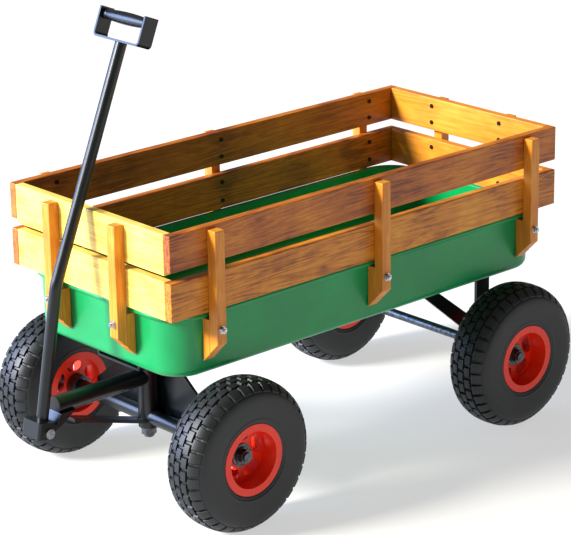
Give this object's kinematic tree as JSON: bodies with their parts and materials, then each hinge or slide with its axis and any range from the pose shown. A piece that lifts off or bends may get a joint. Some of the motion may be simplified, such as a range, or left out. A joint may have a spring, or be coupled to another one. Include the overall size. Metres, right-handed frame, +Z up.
{
  "type": "garden cart",
  "caption": "Hand-pulled garden cart with a steel tray inside timber rails, a steering front axle with a fold-down pull handle, and pneumatic wheels.",
  "frame": {"origin": "on the ground, under the middle of the whole cart at rest", "axes": "+Z up, +X towards the cart's left side, -Y forwards, where the handle is"},
  "size_m": [0.5428, 1.0549, 0.8306],
  "materials": {
    "stained_timber": "stained and varnished pine boards",
    "green_enamel": "gloss enamel on pressed steel",
    "black_enamel": "gloss enamel on steel bar and tube",
    "red_enamel": "gloss enamel on pressed steel",
    "zinc_fasteners": "bright zinc plated",
    "dark_screws": "black oxide screw heads",
    "axle_steel": "drawn bar, lightly oiled",
    "hub_steel": "zinc plated tube",
    "bearing_steel": "ground bearing steel",
    "tyre_rubber": "moulded tread and smooth sidewall",
    "tube_rubber": "smooth butyl rubber",
    "grip_vinyl": "moulded vinyl sleeve",
    "nylon": "machined nylon"
  },
  "bodies": {
    "cart": {"tray": "green_enamel", "front_slat_upper": "stained_timber", "front_slat_lower": "stained_timber", "rear_slat_upper": "stained_timber", "rear_slat_lower": "stained_timber", "left_slat_upper": "stained_timber", "left_slat_lower": "stained_timber", "right_slat_upper": "stained_timber", "right_slat_lower": "stained_timber", "front_stakes": "stained_timber", "rear_stakes": "stained_timber", "left_stakes": "stained_timber", "right_stakes": "stained_timber", "front_blocks": "stained_timber", "rear_blocks": "stained_timber", "left_blocks": "stained_timber", "right_blocks": "stained_timber", "stake_bolts": "zinc_fasteners", "stake_nuts": "zinc_fasteners", "slat_screws": "dark_screws", "front_bracket": "black_enamel", "front_bracket_bolts": "zinc_fasteners", "kingpin": "axle_steel", "rear_axle_frame": "black_enamel", "rear_braces": "black_enamel", "chassis_bolts": "zinc_fasteners", "rear_axle": "axle_steel", "rear_axle_nuts": "zinc_fasteners", "rear_spacers": "axle_steel"},
    "front_truck": {"front_axle_frame": "black_enamel", "front_axle": "axle_steel", "tongue": "black_enamel", "tongue_brace": "black_enamel", "thrust_washer": "nylon", "front_axle_nuts": "zinc_fasteners"},
    "handle": {"handle_yoke": "black_enamel", "pivot_bolt": "zinc_fasteners", "handle_tube": "black_enamel", "handle_loop": "black_enamel", "handle_grip": "grip_vinyl"},
    "front_left_wheel": {"front_left_tyre": "tyre_rubber", "front_left_inner_tube": "tube_rubber", "front_left_rim": "red_enamel", "front_left_hub": "hub_steel", "front_left_bearings": "bearing_steel"},
    "front_right_wheel": {"front_right_tyre": "tyre_rubber", "front_right_inner_tube": "tube_rubber", "front_right_rim": "red_enamel", "front_right_hub": "hub_steel", "front_right_bearings": "bearing_steel"},
    "rear_left_wheel": {"rear_left_tyre": "tyre_rubber", "rear_left_inner_tube": "tube_rubber", "rear_left_rim": "red_enamel", "rear_left_hub": "hub_steel", "rear_left_bearings": "bearing_steel"},
    "rear_right_wheel": {"rear_right_tyre": "tyre_rubber", "rear_right_inner_tube": "tube_rubber", "rear_right_rim": "red_enamel", "rear_right_hub": "hub_steel", "rear_right_bearings": "bearing_steel"}
  },
  "joints": [
    {"name": "steering", "type": "hinge", "parent": "cart", "child": "front_truck", "pos_m": [0, -0.2804, 0.24], "axis": [0, 0, 1], "range_deg": [-20, 20]},
    {"name": "handle_pivot", "type": "hinge", "parent": "front_truck", "child": "handle", "pos_m": [0, -0.504, 0.168], "axis": [1, 0, 0], "range_deg": [0, 118]},
    {"name": "front_left_spin", "type": "hinge", "parent": "front_truck", "child": "front_left_wheel", "pos_m": [0.2287, -0.2804, 0.13], "axis": [1, 0, 0], "continuous": true},
    {"name": "front_right_spin", "type": "hinge", "parent": "front_truck", "child": "front_right_wheel", "pos_m": [-0.2287, -0.2804, 0.13], "axis": [1, 0, 0], "continuous": true},
    {"name": "rear_left_spin", "type": "hinge", "parent": "cart", "child": "rear_left_wheel", "pos_m": [0.2287, 0.3673, 0.13], "axis": [1, 0, 0], "continuous": true},
    {"name": "rear_right_spin", "type": "hinge", "parent": "cart", "child": "rear_right_wheel", "pos_m": [-0.2287, 0.3673, 0.13], "axis": [1, 0, 0], "continuous": true}
  ]
}
